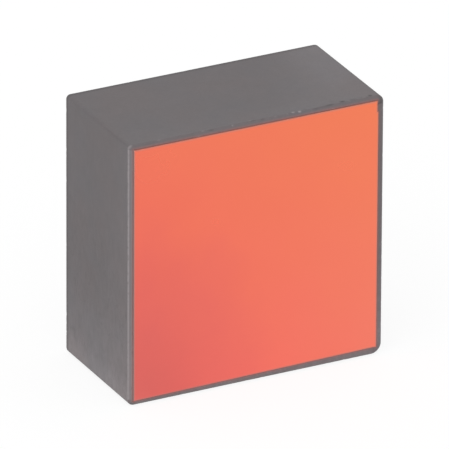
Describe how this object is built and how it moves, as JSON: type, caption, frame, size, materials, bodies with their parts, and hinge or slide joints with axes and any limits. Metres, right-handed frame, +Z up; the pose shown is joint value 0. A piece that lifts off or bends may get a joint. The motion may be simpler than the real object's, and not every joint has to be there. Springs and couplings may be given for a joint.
{
  "type": "diffraction grating",
  "caption": "Square ground glass block with bevelled edges and a thin, finely grooved reflective film bonded to its front face.",
  "frame": {"origin": "middle of the footprint, film included, on the surface that the block stands on", "axes": "+Z up; the grooved film faces -Y; +X to the right as seen from the film's side"},
  "size_m": [0.0126, 0.0066, 0.0127],
  "materials": {
    "ground_glass": "fine ground, matt grey",
    "aluminised_film": "aluminised replica grooves that diffract orange light towards the viewer"
  },
  "bodies": {
    "root": {"glass_block": "ground_glass", "ruled_film": "aluminised_film"}
  },
  "joints": []
}
